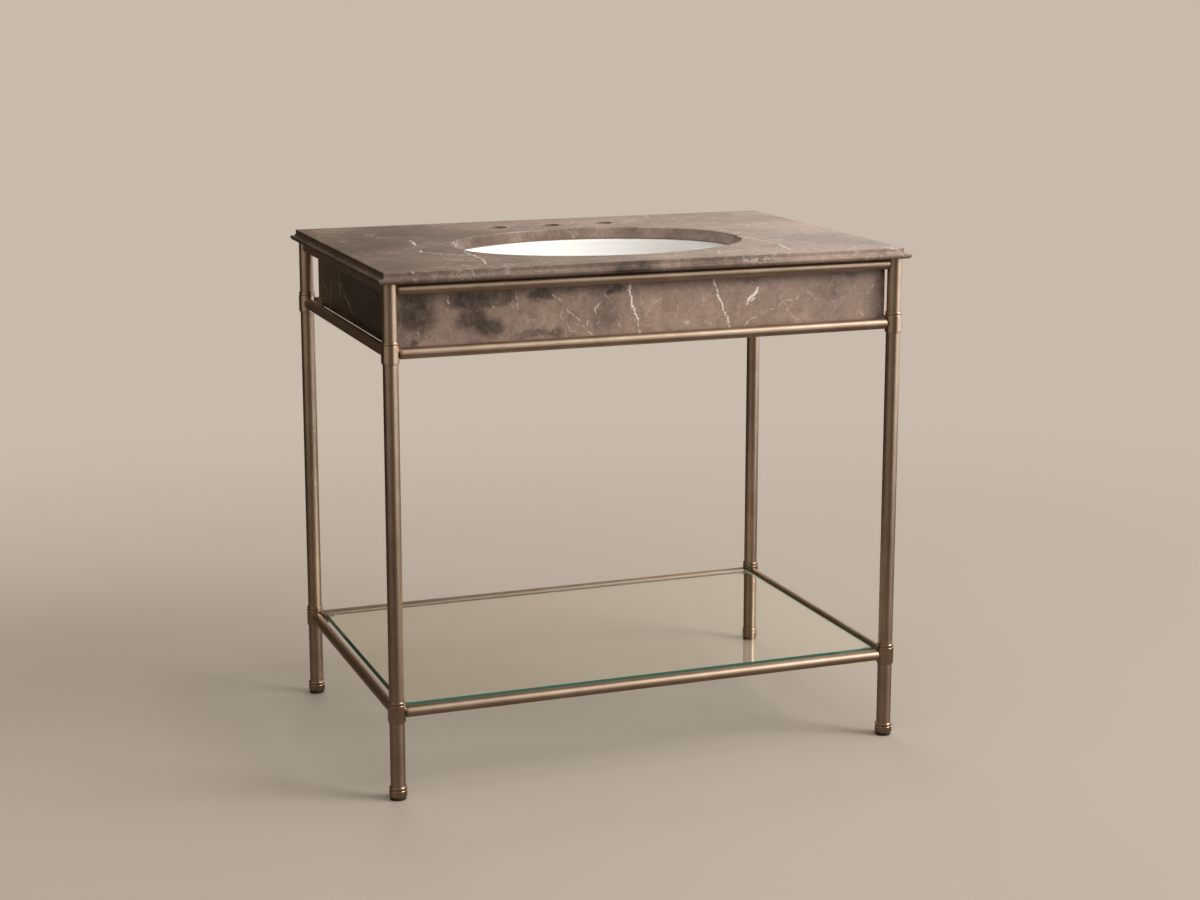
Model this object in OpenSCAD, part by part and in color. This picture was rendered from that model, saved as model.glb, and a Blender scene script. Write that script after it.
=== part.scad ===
// Washstand: a marble top with three marble apron panels and an undermounted oval
// basin, carried by a bronze frame of round tube with a glass shelf near the floor.
// Millimetres, +X right, +Y to the wall, +Z up. The origin is on the floor, under the
// middle of the top.

/* [Overall] */
// Width of the marble top
overall_w = 915; // [840:1:1200]
// Depth of the marble top
overall_d = 616; // [600:1:700]
// Height of the top's upper face above the floor
overall_h = 854; // [800:1:900]

/* [Marble top] */
// Thickness of the marble top
slab_t = 18; // [17:1:24]
// From the edge's outermost line in to the arris of the upper face
edge_inset = 10; // [8:0.5:11]
// Top's overhang past the leg centres, at the front and both sides
side_overhang = 21; // [18:0.5:26]
// Top's overhang past the back leg centres
back_overhang = 29; // [20:0.5:36]
// Length of the oval cutout, left to right
cutout_w = 507; // [460:1:520]
// Width of the oval cutout, front to back
cutout_d = 373; // [340:1:380]
// Cutout's centre, measured from the front edge
cutout_setback = 275; // [272:1:285]
// Distance between neighbouring tap holes
tap_spacing = 101.6; // [90:0.1:110]
// Diameter of the tap holes
tap_hole_d = 35; // [30:0.5:38]
// From the back edge to the line of the tap holes
tap_setback = 92; // [80:1:100]

/* [Apron panels] */
// Height of the apron panels
apron_h = 106; // [100:1:116]
// Thickness of the apron panels
apron_t = 20; // [15:1:20]
// From a rail's centre line in to the panel's outer face
apron_inset = 12; // [11:0.5:14]
// Gap between the side panels' back ends and the back leg centres
side_apron_gap = 41; // [30:1:60]

/* [Frame] */
// Outside diameter of the leg tubes
leg_d = 24.5; // [22:0.5:26]
// Outside diameter of the rail tubes
rail_d = 18.5; // [16:0.5:20]
// Wall of all the tubes
tube_wall = 1.5; // [1.2:0.1:2]
// From the top's underside down to the centre line of the apron rails
apron_rail_drop = 110; // [104:1:120]
// Height of the shelf rails' centre lines
shelf_rail_z = 145; // [120:1:220]

/* [Basin] */
// Depth of the bowl, from its rim to its lowest point
bowl_depth = 125; // [115:1:150]
// Wall of the basin
basin_wall = 9; // [8:0.5:11]
// Diameter of the waste hole
waste_d = 45; // [42:0.5:48]

/* [Glass shelf] */
// Thickness of the glass shelf
glass_t = 10; // [8:1:12]
// From the shelf rails' centre lines in to the edge of the glass
glass_inset = 17; // [15:0.5:20]

/* [Feet] */
// Height of the levelling foot's base when it is screwed right in
foot_base_h = 4.7; // [4:0.1:6]

/* [Hidden] */

LEFT = -1;
RIGHT = 1;
FRONT = -1;
BACK = 1;
$fn = 72;
eps = 0.01;
// How far a cut runs past the face that it opens
over = 5;

// Finishes, as they look in daylight
marble_colour = "#75665c";
bronze_colour = "#7d6753";
china_colour = "#f4f4f0";
steel_colour = "#b4b6b8";
sealant_colour = "#8a6f5c";
glass_colour = [0.55, 0.75, 0.62, 0.35];
clear_colour = [0.85, 0.88, 0.88, 0.6];
foot_colour = "#3c3029";

// Legs
leg_x = overall_w / 2 - side_overhang;
front_y = -overall_d / 2 + side_overhang;
back_y = overall_d / 2 - back_overhang;
mid_y = (front_y + back_y) / 2;
slab_z = overall_h - slab_t;
apron_rail_z = slab_z - apron_rail_drop;
upper_rail_gap = 0.3;
upper_rail_z = slab_z - upper_rail_gap - rail_d / 2;
leg_bore_d = leg_d - 2 * tube_wall;

// Collars: a body between two short lips, with a groove under the upper lip
collar_d = leg_d + 4.5;
collar_body_h = 28;
collar_groove_h = 0.9;
collar_groove_d = leg_d + 2.4;
collar_lip_h = 5;
collar_lip_d = leg_d + 3.6;
collar_lip_r = 1.4;
collar_foot_h = 2;
collar_foot_d = leg_d + 2.6;
collar_web_h = 12;
collar_edge_r = 0.8;

// Rails: tubes with rounded solid ends, each drawn onto a stud
rail_end_r = 4;
rail_end_t = 7;
rail_end_bite = 1;
rail_stud_d = 8;
rail_stud_l = 13;

// Marble top's edge, from the bottom up: a nose with a big lower round and a small
// upper one, a ledge, a cove and an upright fillet with an eased arris
nose_h = 8;
nose_under_r = 6;
nose_upper_r = 1.5;
cove_r = 4.5;
arris_r = 1;
cutout_ease = 2;
tap_hole_ease = 1;
cutout_y = -overall_d / 2 + cutout_setback;
tap_y = overall_d / 2 - tap_setback;

// Oval of the cutout: two end arcs and two side arcs. They meet in line where the
// normal has the slope of a 3-4-5 triangle, so all the arcs' centres are round numbers.
oval_a = cutout_w / 2;
oval_b = cutout_d / 2;
oval_end_x = 1.5 * (oval_a - oval_b);
oval_side_y = 2 * (oval_a - oval_b);
oval_end_r = oval_a - oval_end_x;
oval_side_r = oval_b + oval_side_y;

// Apron's inner corners
corner_block_w = 28;
corner_block_drop = 15;

// Basin, by sections measured outward from the cutout's edge
bowl_reveal = 1.5;
bowl_flat_r = 10;
bowl_reach = oval_end_r - bowl_flat_r;
bowl_corner_r = 60;
bowl_straight = 12;
bowl_rim_ease = 5;
sealant_t = 2;
sealant_setback = 0.6;
sealant_w = 14;
rim_z = slab_z - sealant_t;
flange_w = 18;
flange_t = 12;
flange_round_r = 2.5;
overflow_gap = 6;
overflow_wall = 6;
overflow_side_wall = 12;
overflow_near = 11;
overflow_far = 26;
overflow_roof = 8;
overflow_hole_d = 22;
overflow_hole_drop = 34;
overflow_hole_l = 30;
waste_seat_d = waste_d + 20;
waste_seat_t = 4;
waste_boss_r = waste_d / 2 + 14;
waste_mouth_h = 6;
bowl_corner_x = bowl_reach - bowl_corner_r;
bowl_corner_drop = bowl_depth - bowl_straight;
bowl_floor_r = (pow(bowl_corner_x, 2) + pow(bowl_corner_drop, 2) - pow(bowl_corner_r, 2))
    / (2 * (bowl_corner_drop - bowl_corner_r));
waste_bottom = bowl_depth + basin_wall + overflow_gap + overflow_wall;

// Clips that hold the basin's flange up to the top
clip_angles = [35, 145, 215, 325];
clip_w = 22;
clip_t = 3;
clip_toe = 10;
clip_heel = 12;
stud_gap = 9;
stud_d = 6;
stud_depth = 11;
stud_end_gap = 1;
stud_hole_d = 6.6;
stud_l = 46;
washer_d = 16;
washer_t = 1.5;
wing_hub_d = 11;
wing_hub_h = 7;
wing_span = 28;
wing_t = 2.6;
wing_h = 9;
clip_z = rim_z - flange_t - clip_t;

// Glass shelf
glass_drop = 0.7;
glass_top_z = shelf_rail_z + rail_d / 2 - glass_drop;
glass_ease = 1;
bumper_d = 12;
bumper_h = 1.5;
tab_leg = 46;
tab_t = 3;
tab_top_z = glass_top_z - glass_t - bumper_h;
bumper_offset = 24;

// Feet
ferrule_gap = 0.3;
ferrule_z = foot_base_h + ferrule_gap;
ferrule_body_h = 11.5;
ferrule_edge_r = 1.2;
ferrule_lip_d = leg_d + 4.2;
ferrule_lip_r = 1.8;
ferrule_floor_t = 3;
ferrule_hole_d = 8.8;
foot_base_d = leg_d + 1.5;
foot_base_r = 1;
foot_stem_d = 8;
foot_stem_l = 30;
stem_play = 0.05;
insert_h = 24;
top_plug_h = 20;
lower_leg_z = ferrule_z + ferrule_floor_t;

module at_leg(side, end, z = 0) {
    translate([side * leg_x, end == FRONT ? front_y : back_y, z]) children();
}

module at_each_leg(z = 0) {
    for (side = [LEFT, RIGHT], end = [FRONT, BACK])
        at_leg(side, end, z) children();
}

// Square with its outer corners rounded, standing on the axis, for turned rings
module ring_section(d, h, r) {
    square([d / 2 - r, h]);
    translate([0, r]) square([d / 2, h - 2 * r]);
    for (y = [r, h - r]) translate([d / 2 - r, y]) circle(r);
}

module turned_ring(d, h, r, z) {
    translate([0, 0, z]) rotate_extrude() intersection() {
        ring_section(d, h, r);
        square([d, h]);
    }
}

module tube(d, wall, h) {
    difference() {
        cylinder(d = d, h = h);
        translate([0, 0, -eps]) cylinder(d = d - 2 * wall, h = h + 2 * eps);
    }
}

// ---- Marble ----

// The edge's moulding, outward from the upright fillet at x = 0
module edge_moulding() {
    translate([-arris_r, 0]) square([arris_r, slab_t - arris_r]);
    translate([-arris_r, slab_t - arris_r]) circle(arris_r);
    square([edge_inset - nose_under_r, nose_h]);
    translate([0, nose_under_r]) square([edge_inset - nose_upper_r, nose_h - nose_under_r]);
    translate([0, nose_under_r]) square([edge_inset, nose_h - nose_under_r - nose_upper_r]);
    translate([edge_inset - nose_upper_r, nose_h - nose_upper_r]) circle(nose_upper_r);
    intersection() {
        translate([edge_inset - nose_under_r, nose_under_r]) circle(nose_under_r);
        square([edge_inset, nose_under_r]);
    }
    difference() {
        translate([0, nose_h]) square(cove_r);
        translate([cove_r, nose_h + cove_r]) circle(cove_r);
    }
}

// Slab running front to back, moulded on its left and right edges
module slab_with_moulded_sides() {
    core = overall_w - 2 * (edge_inset + arris_r);
    rotate([90, 0, 0]) linear_extrude(overall_d, center = true) {
        translate([-core / 2, 0]) square([core, slab_t]);
        for (side = [LEFT, RIGHT])
            scale([side, 1]) translate([core / 2 + arris_r, 0]) edge_moulding();
    }
}

// Slab running left to right, moulded on its front edge and square at the back
module slab_with_moulded_front() {
    front = -overall_d / 2 + edge_inset;
    rotate([90, 0, 90]) linear_extrude(overall_w, center = true) {
        translate([front + arris_r, 0]) square([overall_d / 2 - front - arris_r, slab_t]);
        translate([front, 0]) mirror([1, 0]) edge_moulding();
    }
}

// Section of a hole from its middle at x = -depth_in to its wall at x = 0, with the
// slab's upper edge eased to a quarter round
module hole_section(depth_in, ease) {
    translate([-depth_in, -over]) square([depth_in, slab_t + 2 * over]);
    difference() {
        translate([-ease, slab_t - ease]) square([2 * ease, ease + over]);
        translate([ease, slab_t - ease]) circle(ease);
    }
}

// Sweeps a section round the oval. Its x is measured outward from the oval's line. The
// wedges meet on the arcs' shared normals and on the line between the end arcs' centres.
module sweep_oval() {
    span = 400;
    far_x = oval_end_x + 0.6 * span;
    far_y = 0.8 * span;
    for (side = [LEFT, RIGHT]) intersection() {
        translate([side * oval_end_x, 0, 0]) rotate(side == RIGHT ? 180 : 0) rotate_extrude()
            intersection() {
                translate([oval_end_r, 0]) children();
                translate([0, -span]) square(2 * span);
            }
        translate([0, 0, -span]) linear_extrude(2 * span)
            polygon([[side * oval_end_x, 0], [side * far_x, far_y], [side * far_x, -far_y]]);
    }
    for (end = [FRONT, BACK]) intersection() {
        translate([0, -end * oval_side_y, 0]) rotate_extrude() translate([oval_side_r, 0]) children();
        translate([0, 0, -span]) linear_extrude(2 * span)
            polygon([[-oval_end_x, 0], [oval_end_x, 0], [far_x, end * far_y], [-far_x, end * far_y]]);
    }
}

// Each clip stands on a line square to the oval, out past the basin's flange
module at_each_clip(z) {
    for (a = clip_angles) {
        side = sign(cos(a));
        translate([side * oval_end_x, cutout_y, z]) rotate(a)
            translate([oval_end_r + flange_w + stud_gap, 0, 0]) children();
    }
}

module marble_top() {
    color(marble_colour) difference() {
        translate([0, 0, slab_z]) intersection() {
            slab_with_moulded_sides();
            slab_with_moulded_front();
        }
        translate([0, cutout_y, slab_z]) sweep_oval() hole_section(oval_b, cutout_ease);
        for (i = [-1, 0, 1]) translate([i * tap_spacing, tap_y, slab_z]) rotate_extrude()
            translate([tap_hole_d / 2, 0]) hole_section(tap_hole_d / 2, tap_hole_ease);
        at_each_clip(slab_z - eps) cylinder(d = stud_d, h = stud_depth + eps);
    }
}

apron_outer_x = leg_x - apron_inset;
apron_outer_y = front_y + apron_inset;
apron_z = slab_z - apron_h;

module apron_front() {
    color(marble_colour) translate([-apron_outer_x, apron_outer_y, apron_z])
        cube([2 * apron_outer_x, apron_t, apron_h]);
}

module apron_side(side) {
    start_y = apron_outer_y + apron_t;
    length = back_y - side_apron_gap - start_y;
    color(marble_colour) translate([side * (apron_outer_x - apron_t / 2), start_y + length / 2,
        apron_z + apron_h / 2]) cube([apron_t, length, apron_h], center = true);
}

// Offcuts bonded into the inner corners, short of the panels' lower edges
module apron_corner_blocks() {
    w = corner_block_w;
    h = apron_h - corner_block_drop;
    color(marble_colour) for (side = [LEFT, RIGHT])
        translate([side * (apron_outer_x - apron_t - w / 2), apron_outer_y + apron_t + w / 2,
            slab_z - h / 2]) cube([w, w, h], center = true);
}

// ---- Basin ----

// Section of the bowl, with its surface moved outward by grow: a rounded corner and a
// floor arc that meet in line, and a flat floor from there to the middle
module bowl_section(grow) {
    low = -bowl_depth - grow - over;
    floor_centre = [0, bowl_floor_r - bowl_depth];
    corner_centre = [bowl_corner_x, -bowl_straight];
    outward = (corner_centre - floor_centre) / (bowl_floor_r - bowl_corner_r);
    meet = corner_centre + outward * (bowl_corner_r + grow);
    floor_x = bowl_reveal + bowl_reach;
    translate([-floor_x, 0]) {
        translate([0, -bowl_straight]) square([bowl_reach + grow, bowl_straight]);
        intersection() {
            translate(corner_centre) circle(bowl_corner_r + grow);
            translate([0, low]) square([bowl_reach + grow, -low - bowl_straight]);
        }
        intersection() {
            translate(floor_centre) circle(bowl_floor_r + grow);
            polygon([[0, -bowl_straight], corner_centre, meet, [meet[0], low], [0, low]]);
        }
    }
    translate([-oval_b, -bowl_depth - grow]) square([oval_b - floor_x, bowl_depth + grow]);
}

// The space inside the bowl, with the rim's inner edge eased
module cavity_section() {
    bowl_section(0);
    translate([-oval_b, -bowl_rim_ease]) square([oval_b - bowl_reveal, bowl_rim_ease + over]);
    translate([-bowl_reveal, 0]) difference() {
        translate([-eps, -bowl_rim_ease]) square([bowl_rim_ease + eps, bowl_rim_ease + over]);
        translate([bowl_rim_ease, -bowl_rim_ease]) circle(bowl_rim_ease);
    }
}

module flange_section() {
    r = flange_round_r;
    square([flange_w - r, flange_t]);
    translate([0, r]) square([flange_w, flange_t - 2 * r]);
    for (y = [r, flange_t - r]) translate([flange_w - r, y]) circle(r);
}

// Part of a swept section within a wedge that widens from the waste hole to the front
module front_wedge(near, far, top) {
    intersection() {
        translate([0, oval_side_y, 0]) rotate_extrude() translate([oval_side_r, 0]) children();
        translate([0, 0, -waste_bottom]) linear_extrude(waste_bottom - top)
            polygon([[-near, 0], [near, 0], [far, -oval_a], [-far, -oval_a]]);
    }
}

module basin() {
    color(china_colour) translate([0, cutout_y, rim_z]) difference() {
        union() {
            sweep_oval() bowl_section(basin_wall);
            translate([0, 0, -flange_t]) sweep_oval() flange_section();
            front_wedge(overflow_near + overflow_side_wall, overflow_far + overflow_side_wall, flange_t / 2)
                bowl_section(basin_wall + overflow_gap + overflow_wall);
            translate([0, 0, -waste_bottom]) cylinder(r = waste_boss_r, h = waste_bottom - bowl_depth);
        }
        sweep_oval() cavity_section();
        front_wedge(overflow_near, overflow_far, flange_t + overflow_roof) difference() {
            bowl_section(basin_wall + overflow_gap);
            bowl_section(basin_wall);
        }
        translate([0, 0, -waste_bottom - over]) cylinder(d = waste_d, h = waste_bottom);
        translate([0, 0, -bowl_depth - waste_seat_t])
            cylinder(d = waste_seat_d, h = waste_seat_t + waste_mouth_h);
        translate([0, overflow_hole_l - oval_b, -overflow_hole_drop]) rotate([90, 0, 0])
            cylinder(d = overflow_hole_d, h = overflow_hole_l + basin_wall + overflow_gap / 2);
    }
}

module basin_sealant() {
    color(sealant_colour) translate([0, cutout_y, rim_z]) sweep_oval()
        translate([sealant_setback, 0]) square([sealant_w, sealant_t]);
}

// Each clip's toe presses the flange up and its heel stands on the top's underside
module basin_clips() {
    color(steel_colour) at_each_clip(clip_z) difference() {
        union() {
            translate([-stud_gap - clip_toe, -clip_w / 2, 0])
                cube([clip_toe + stud_gap + clip_heel, clip_w, clip_t - eps]);
            translate([clip_heel - clip_t, -clip_w / 2, 0]) cube([clip_t, clip_w, slab_z - clip_z]);
        }
        translate([0, 0, -over]) cylinder(d = stud_hole_d, h = clip_t + 2 * over);
    }
}

module clip_studs() {
    color(steel_colour) at_each_clip(slab_z + stud_depth - stud_end_gap - stud_l)
        cylinder(d = stud_d, h = stud_l);
}

module clip_washers() {
    color(steel_colour) at_each_clip(clip_z - washer_t) difference() {
        cylinder(d = washer_d, h = washer_t);
        translate([0, 0, -over]) cylinder(d = stud_hole_d, h = washer_t + 2 * over);
    }
}

module clip_wing_nuts() {
    color(steel_colour) at_each_clip(clip_z - washer_t - wing_hub_h) difference() {
        union() {
            cylinder(d = wing_hub_d, h = wing_hub_h);
            translate([-wing_span / 2, -wing_t / 2, -wing_h / 2]) cube([wing_span, wing_t, wing_h]);
        }
        translate([0, 0, -wing_h]) cylinder(d = stud_d, h = wing_h + wing_hub_h + over);
    }
}

// ---- Frame ----

module leg_tube(side, end, z0, z1) {
    color(bronze_colour) at_leg(side, end, z0) tube(leg_d, tube_wall, z1 - z0);
}

module upper_leg(side, end) {
    color(bronze_colour) difference() {
        leg_tube(side, end, apron_rail_z + collar_web_h / 2, slab_z);
        at_leg(side, end, upper_rail_z) rail_studs(side, end, leg_d);
    }
}

module main_leg(side, end) {
    leg_tube(side, end, shelf_rail_z + collar_web_h / 2, apron_rail_z - collar_web_h / 2);
}

module lower_leg(side, end) {
    leg_tube(side, end, lower_leg_z, shelf_rail_z - collar_web_h / 2);
}

module collar_outside() {
    half = collar_body_h / 2;
    turned_ring(collar_d, collar_body_h, collar_edge_r, -half);
    translate([0, 0, half]) cylinder(d = collar_groove_d, h = collar_groove_h);
    turned_ring(collar_lip_d, collar_lip_h, collar_lip_r, half + collar_groove_h);
    turned_ring(collar_foot_d, collar_foot_h + collar_edge_r, collar_edge_r, -half - collar_foot_h);
}

// Two studs at right angles that reach from an upright of joint_d into the rails' ends
module rail_studs(side, end, joint_d) {
    rotate([0, -side * 90, 0]) cylinder(d = rail_stud_d, h = joint_d / 2 + rail_stud_l);
    rotate([end * 90, 0, 0]) cylinder(d = rail_stud_d, h = joint_d / 2 + rail_stud_l);
}

// Cast tee: a socket above and below for the leg tubes, and a stud for each rail
module leg_collar(side, end, z) {
    color(bronze_colour) at_leg(side, end, z) difference() {
        union() {
            collar_outside();
            rail_studs(side, end, collar_d);
        }
        translate([0, 0, collar_web_h / 2]) cylinder(d = leg_d, h = collar_body_h);
        translate([0, 0, -collar_web_h / 2 - collar_body_h]) cylinder(d = leg_d, h = collar_body_h);
    }
}

// Rail from leg to leg: a tube with rounded solid ends, coped to uprights of joint_d
module rail(span, joint_d) {
    length = span - joint_d + 2 * rail_end_bite;
    color(bronze_colour) rotate([0, 90, 0]) difference() {
        turned_ring(rail_d, length, rail_end_r, -length / 2);
        cylinder(d = rail_d - 2 * tube_wall, h = length - 2 * rail_end_t, center = true);
        cylinder(d = rail_stud_d, h = span, center = true);
        for (s = [-1, 1]) translate([rail_d, 0, s * span / 2]) rotate([0, -90, 0])
            cylinder(d = joint_d, h = 2 * rail_d);
    }
}

module cross_rail(end, z, joint_d) {
    translate([0, end == FRONT ? front_y : back_y, z]) rail(2 * leg_x, joint_d);
}

module side_rail(side, z, joint_d) {
    translate([side * leg_x, mid_y, z]) rotate(90) rail(back_y - front_y, joint_d);
}

// Plugs in the tops of the legs, with the studs that hold the upper rails
module leg_top_plugs() {
    color(bronze_colour) for (side = [LEFT, RIGHT], end = [FRONT, BACK]) {
        at_leg(side, end, slab_z - top_plug_h) cylinder(d = leg_bore_d, h = top_plug_h);
        at_leg(side, end, upper_rail_z) rail_studs(side, end, leg_d);
    }
}

// ---- Feet ----

module foot_inserts() {
    color(steel_colour) at_each_leg(lower_leg_z) difference() {
        cylinder(d = leg_bore_d, h = insert_h);
        translate([0, 0, -over]) cylinder(d = foot_stem_d + 2 * stem_play, h = insert_h + 2 * over);
    }
}

module foot_ferrule(side, end) {
    color(bronze_colour) at_leg(side, end, ferrule_z) difference() {
        union() {
            turned_ring(collar_d, ferrule_body_h, ferrule_edge_r, 0);
            translate([0, 0, ferrule_body_h]) cylinder(d = collar_groove_d, h = collar_groove_h);
            turned_ring(ferrule_lip_d, collar_lip_h, ferrule_lip_r, ferrule_body_h + collar_groove_h);
        }
        translate([0, 0, ferrule_floor_t]) cylinder(d = leg_d, h = 2 * ferrule_body_h);
        translate([0, 0, -over]) cylinder(d = ferrule_hole_d, h = 2 * over);
    }
}

module levelling_foot(side, end) {
    color(foot_colour) at_leg(side, end) {
        turned_ring(foot_base_d, foot_base_h, foot_base_r, 0);
        cylinder(d = foot_stem_d, h = foot_base_h + foot_stem_l);
    }
}

// ---- Glass shelf ----

module glass_shelf() {
    size_x = 2 * (leg_x - glass_inset);
    size_y = back_y - front_y - 2 * glass_inset;
    color(glass_colour) translate([0, mid_y, glass_top_z - glass_t / 2]) intersection() {
        cube([size_x, size_y, glass_t], center = true);
        for (a = [0, 90]) rotate(a) eased_bar(a == 0 ? size_y : size_x, size_x + size_y);
    }
}

// Bar of the glass's thickness whose four long edges are ground to a small chamfer
module eased_bar(width, length) {
    h = glass_t / 2;
    w = width / 2;
    e = glass_ease;
    rotate([90, 0, 90]) linear_extrude(length, center = true)
        polygon([[-w, -h + e], [-w + e, -h], [w - e, -h], [w, -h + e],
            [w, h - e], [w - e, h], [-w + e, h], [-w, h - e]]);
}

// Gussets in the corners of the shelf frame, coped to the collar and both rails
module shelf_corner_tabs() {
    color(bronze_colour) for (side = [LEFT, RIGHT], end = [FRONT, BACK])
        difference() {
            at_leg(side, end, tab_top_z - tab_t) linear_extrude(tab_t)
                polygon([[0, 0], [-side * tab_leg, 0], [0, -end * tab_leg]]);
            at_leg(side, end, shelf_rail_z - collar_body_h) cylinder(d = collar_d, h = 2 * collar_body_h);
            at_leg(side, end, shelf_rail_z) {
                rotate([0, -side * 90, 0]) cylinder(d = rail_d, h = 2 * tab_leg);
                rotate([end * 90, 0, 0]) cylinder(d = rail_d, h = 2 * tab_leg);
            }
        }
}

module shelf_bumpers() {
    color(clear_colour) for (side = [LEFT, RIGHT], end = [FRONT, BACK])
        at_leg(side, end, tab_top_z) translate([-side * bumper_offset, -end * bumper_offset, 0])
            cylinder(d = bumper_d, h = bumper_h);
}

marble_top();
apron_front();
apron_side(LEFT);  // apron_left
apron_side(RIGHT);  // apron_right
apron_corner_blocks();
basin();
basin_sealant();
basin_clips();
clip_studs();
clip_washers();
clip_wing_nuts();
upper_leg(LEFT, FRONT);  // upper_leg_front_left
upper_leg(RIGHT, FRONT);  // upper_leg_front_right
upper_leg(LEFT, BACK);  // upper_leg_back_left
upper_leg(RIGHT, BACK);  // upper_leg_back_right
main_leg(LEFT, FRONT);  // main_leg_front_left
main_leg(RIGHT, FRONT);  // main_leg_front_right
main_leg(LEFT, BACK);  // main_leg_back_left
main_leg(RIGHT, BACK);  // main_leg_back_right
lower_leg(LEFT, FRONT);  // lower_leg_front_left
lower_leg(RIGHT, FRONT);  // lower_leg_front_right
lower_leg(LEFT, BACK);  // lower_leg_back_left
lower_leg(RIGHT, BACK);  // lower_leg_back_right
leg_collar(LEFT, FRONT, apron_rail_z);  // apron_collar_front_left
leg_collar(RIGHT, FRONT, apron_rail_z);  // apron_collar_front_right
leg_collar(LEFT, BACK, apron_rail_z);  // apron_collar_back_left
leg_collar(RIGHT, BACK, apron_rail_z);  // apron_collar_back_right
leg_collar(LEFT, FRONT, shelf_rail_z);  // shelf_collar_front_left
leg_collar(RIGHT, FRONT, shelf_rail_z);  // shelf_collar_front_right
leg_collar(LEFT, BACK, shelf_rail_z);  // shelf_collar_back_left
leg_collar(RIGHT, BACK, shelf_rail_z);  // shelf_collar_back_right
cross_rail(FRONT, upper_rail_z, leg_d);  // upper_rail_front
cross_rail(BACK, upper_rail_z, leg_d);  // upper_rail_back
side_rail(LEFT, upper_rail_z, leg_d);  // upper_rail_left
side_rail(RIGHT, upper_rail_z, leg_d);  // upper_rail_right
cross_rail(FRONT, apron_rail_z, collar_d);  // apron_rail_front
cross_rail(BACK, apron_rail_z, collar_d);  // apron_rail_back
side_rail(LEFT, apron_rail_z, collar_d);  // apron_rail_left
side_rail(RIGHT, apron_rail_z, collar_d);  // apron_rail_right
cross_rail(FRONT, shelf_rail_z, collar_d);  // shelf_rail_front
cross_rail(BACK, shelf_rail_z, collar_d);  // shelf_rail_back
side_rail(LEFT, shelf_rail_z, collar_d);  // shelf_rail_left
side_rail(RIGHT, shelf_rail_z, collar_d);  // shelf_rail_right
leg_top_plugs();
foot_inserts();
foot_ferrule(LEFT, FRONT);  // foot_ferrule_front_left
foot_ferrule(RIGHT, FRONT);  // foot_ferrule_front_right
foot_ferrule(LEFT, BACK);  // foot_ferrule_back_left
foot_ferrule(RIGHT, BACK);  // foot_ferrule_back_right
levelling_foot(LEFT, FRONT);  // levelling_foot_front_left
levelling_foot(RIGHT, FRONT);  // levelling_foot_front_right
levelling_foot(LEFT, BACK);  // levelling_foot_back_left
levelling_foot(RIGHT, BACK);  // levelling_foot_back_right
shelf_corner_tabs();
shelf_bumpers();
glass_shelf();
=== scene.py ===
import math
import bpy
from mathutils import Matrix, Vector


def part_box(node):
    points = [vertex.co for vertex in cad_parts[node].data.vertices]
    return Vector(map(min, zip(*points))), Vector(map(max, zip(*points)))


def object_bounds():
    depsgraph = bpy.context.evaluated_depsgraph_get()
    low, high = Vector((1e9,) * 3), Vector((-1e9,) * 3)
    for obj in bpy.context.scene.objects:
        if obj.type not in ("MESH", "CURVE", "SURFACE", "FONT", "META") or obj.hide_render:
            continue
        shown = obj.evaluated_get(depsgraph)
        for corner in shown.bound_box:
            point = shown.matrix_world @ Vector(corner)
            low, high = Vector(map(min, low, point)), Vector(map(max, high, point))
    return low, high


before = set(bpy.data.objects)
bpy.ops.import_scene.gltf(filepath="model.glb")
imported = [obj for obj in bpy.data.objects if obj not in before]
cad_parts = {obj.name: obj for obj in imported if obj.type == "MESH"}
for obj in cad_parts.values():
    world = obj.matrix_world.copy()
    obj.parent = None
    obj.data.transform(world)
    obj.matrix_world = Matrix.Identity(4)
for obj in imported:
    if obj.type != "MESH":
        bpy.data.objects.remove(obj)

cad_low, cad_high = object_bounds()
MM = 0.001
PAPER = "#c8bbac"  # pale warm grey of the floor and of everything behind it


def linear(hex_colour, alpha=1.0):
    """The linear colour of an sRGB hex value."""
    parts = [int(hex_colour[i : i + 2], 16) / 255 for i in (1, 3, 5)]
    return [c / 12.92 if c <= 0.04045 else ((c + 0.055) / 1.055) ** 2.4 for c in parts] + [alpha]


def add(tree, kind, inputs=(), **settings):
    """Adds a node. Each input takes a value, or the output of another node as a link."""
    node = tree.nodes.new(kind)
    for name, value in settings.items():
        setattr(node, name, value)
    for name, value in dict(inputs).items():
        if isinstance(value, bpy.types.Node):
            value = value.outputs[0]
        if isinstance(value, bpy.types.NodeSocket):
            tree.links.new(value, node.inputs[name])
        else:
            node.inputs[name].default_value = value
    return node


def new_finish(name):
    """An empty material, and its tree."""
    material = bpy.data.materials.new(name)
    material.use_nodes = True
    material.node_tree.nodes.clear()
    return material, material.node_tree


def dress(material, *nodes):
    """Puts a finish on carried-over solids."""
    for node in nodes:
        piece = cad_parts[node]
        piece.data.materials.clear()
        piece.data.materials.append(material)


# ---- Marble ----

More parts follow.
